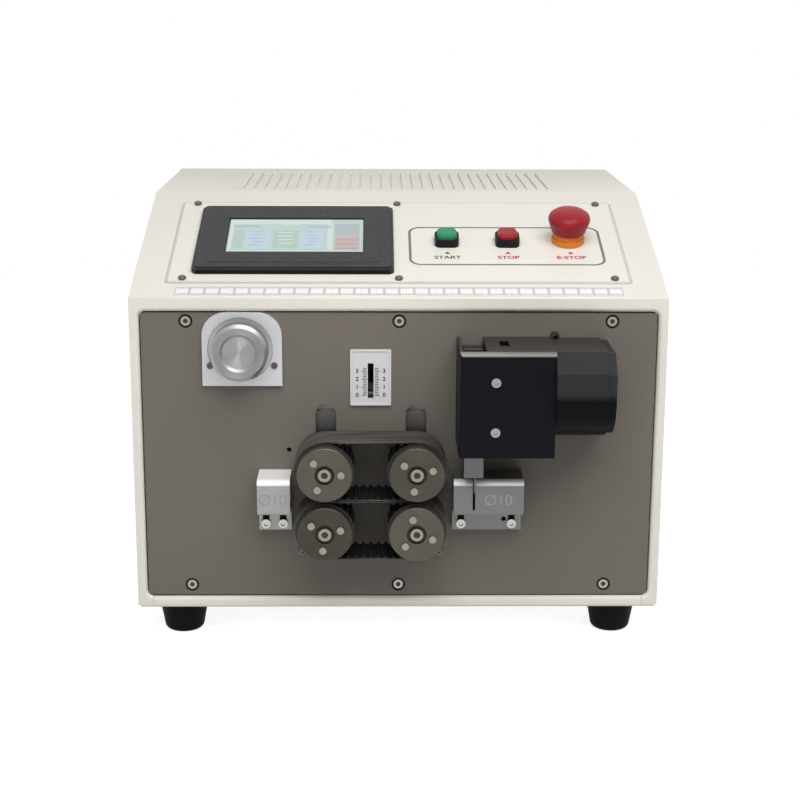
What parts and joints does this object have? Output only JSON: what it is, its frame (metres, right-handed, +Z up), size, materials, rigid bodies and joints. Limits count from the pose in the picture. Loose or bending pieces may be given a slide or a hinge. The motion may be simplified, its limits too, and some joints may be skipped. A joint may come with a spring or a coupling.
{
  "type": "tube cutting machine",
  "caption": "Benchtop cutting machine with a sloping control face, toothed feed belts, tube guides and a motor-driven blade.",
  "frame": {"origin": "centre of the bounding box in X and Y, at the underside of the feet", "axes": "+X along the tube from inlet to outlet, +Y from the front panel to the rear, +Z up"},
  "size_m": [0.36, 0.3924, 0.2925],
  "materials": {
    "cream_paint": "satin cream paint",
    "panel_paint": "satin grey-brown paint",
    "black_rubber": "matt black",
    "bar_metal": "plain drawn",
    "screw_steel": "bright",
    "control_face": "printed film",
    "ruler_face": "white with grey marks",
    "bezel_plastic": "fine grain",
    "screen_face": "lit display",
    "black_plastic": "fine grain",
    "green_plastic": "moulded",
    "red_plastic": "moulded",
    "orange_plastic": "moulded",
    "plate_metal": "bead blasted",
    "turned_metal": "turned",
    "brass_metal": "machined",
    "scale_face": "satin with dark marks",
    "dark_metal": "black anodised",
    "ground_steel": "ground",
    "belt_rubber": "moulded",
    "motor_black": "black",
    "guide_metal": "milled",
    "block_black": "black anodised",
    "cover_black": "satin black",
    "motor_cast": "dark grey",
    "slide_metal": "milled",
    "pulley_metal": "hobbed",
    "cap_metal": "turned, anodised",
    "board_green": "solder mask",
    "filter_mat": "open foam"
  },
  "bodies": {
    "chassis": {"base_tray": "cream_paint", "cover": "cream_paint", "rear_panel": "cream_paint", "feet": "black_rubber", "front_panel": "panel_paint", "panel_rails": "bar_metal", "front_screws": "screw_steel", "control_plate": "control_face", "control_screws": "screw_steel", "ruler": "ruler_face", "touch_panel": "bezel_plastic", "touch_screen": "screen_face", "button_housings": "black_plastic", "emergency_collar": "orange_plastic", "knob_bracket": "plate_metal", "gap_scale": "scale_face", "lift_rods": "ground_steel", "rod_block": "plate_metal", "lower_housing": "dark_metal", "lower_plate": "panel_paint", "lower_bearings": "ground_steel", "lower_belt": "belt_rubber", "lower_motor": "motor_black", "inlet_guide": "guide_metal", "outlet_guide": "guide_metal", "cutter_block": "block_black", "cutter_cover": "cover_black", "cutter_motor": "motor_cast", "power_supply": "bar_metal", "control_board": "board_green", "power_inlet": "black_plastic", "vent_mat": "filter_mat"},
    "lift_unit": {"lift_carriage": "dark_metal", "lift_rack": "bar_metal", "upper_bearings": "ground_steel", "upper_belt": "belt_rubber", "upper_motor": "motor_black"},
    "gap_knob": {"gap_knob": "turned_metal", "gap_pinion": "brass_metal"},
    "start_button": {"start_button": "green_plastic"},
    "stop_button": {"stop_button": "red_plastic"},
    "emergency_button": {"emergency_button": "red_plastic"},
    "blade_unit": {"blade_slide": "slide_metal", "blade": "ground_steel"},
    "cutter_pinion": {"cutter_pinion": "brass_metal"},
    "power_switch": {"power_switch": "black_plastic"},
    "lower_left_roller": {"lower_left_pulley": "pulley_metal", "lower_left_shaft": "ground_steel", "lower_left_cap": "cap_metal"},
    "lower_right_roller": {"lower_right_pulley": "pulley_metal", "lower_right_shaft": "ground_steel", "lower_right_cap": "cap_metal"},
    "upper_left_roller": {"upper_left_pulley": "pulley_metal", "upper_left_shaft": "ground_steel", "upper_left_cap": "cap_metal"},
    "upper_right_roller": {"upper_right_pulley": "pulley_metal", "upper_right_shaft": "ground_steel", "upper_right_cap": "cap_metal"}
  },
  "joints": [
    {"name": "roller_gap", "type": "slide", "parent": "chassis", "child": "lift_unit", "axis": [0, 0, 1], "range_m": [0, 0.01]},
    {"name": "gap_knob_turn", "type": "hinge", "parent": "chassis", "child": "gap_knob", "pos_m": [-0.1062, -0.1398, 0.2066], "axis": [0, 1, 0], "range_deg": [-51.4, 0]},
    {"name": "lower_left_spin", "type": "hinge", "parent": "chassis", "child": "lower_left_roller", "pos_m": [-0.04938, -0.1398, 0.08932], "axis": [0, 1, 0], "continuous": true, "deforming": ["lower_belt"]},
    {"name": "lower_right_spin", "type": "hinge", "parent": "chassis", "child": "lower_right_roller", "pos_m": [0.01158, -0.1398, 0.08932], "axis": [0, 1, 0], "continuous": true},
    {"name": "upper_left_spin", "type": "hinge", "parent": "lift_unit", "child": "upper_left_roller", "pos_m": [-0.04938, -0.1398, 0.13018], "axis": [0, 1, 0], "continuous": true, "deforming": ["upper_belt"]},
    {"name": "upper_right_spin", "type": "hinge", "parent": "lift_unit", "child": "upper_right_roller", "pos_m": [0.01158, -0.1398, 0.13018], "axis": [0, 1, 0], "continuous": true},
    {"name": "blade_stroke", "type": "slide", "parent": "chassis", "child": "blade_unit", "axis": [0, 0, 1], "range_m": [-0.013, 0]},
    {"name": "cutter_pinion_turn", "type": "hinge", "parent": "chassis", "child": "cutter_pinion", "pos_m": [0.05, -0.1672, 0.1855], "axis": [1, 0, 0], "range_deg": [-66.7, 0]},
    {"name": "start_press", "type": "slide", "parent": "chassis", "child": "start_button", "axis": [0, 0.3003, -0.9538], "range_m": [0, 0.0025], "stiffness_N_per_m": 900, "springref_m": -0.0005},
    {"name": "stop_press", "type": "slide", "parent": "chassis", "child": "stop_button", "axis": [0, 0.3003, -0.9538], "range_m": [0, 0.0025], "stiffness_N_per_m": 900, "springref_m": -0.0005},
    {"name": "emergency_press", "type": "slide", "parent": "chassis", "child": "emergency_button", "axis": [0, 0.3003, -0.9538], "range_m": [0, 0.004], "stiffness_N_per_m": 1500, "springref_m": -0.0006},
    {"name": "power_switch_rock", "type": "hinge", "parent": "chassis", "child": "power_switch", "pos_m": [0.11, 0.1882, 0.102], "axis": [1, 0, 0], "range_deg": [-16, 0]}
  ],
  "couplings": [
    {"joint": "gap_knob_turn", "follows": "roller_gap", "rad_per_m": -88.889},
    {"joint": "lower_right_spin", "follows": "lower_left_spin", "ratio": 1},
    {"joint": "upper_left_spin", "follows": "lower_left_spin", "ratio": -1},
    {"joint": "upper_right_spin", "follows": "lower_left_spin", "ratio": -1},
    {"joint": "cutter_pinion_turn", "follows": "blade_stroke", "rad_per_m": 88.889}
  ]
}
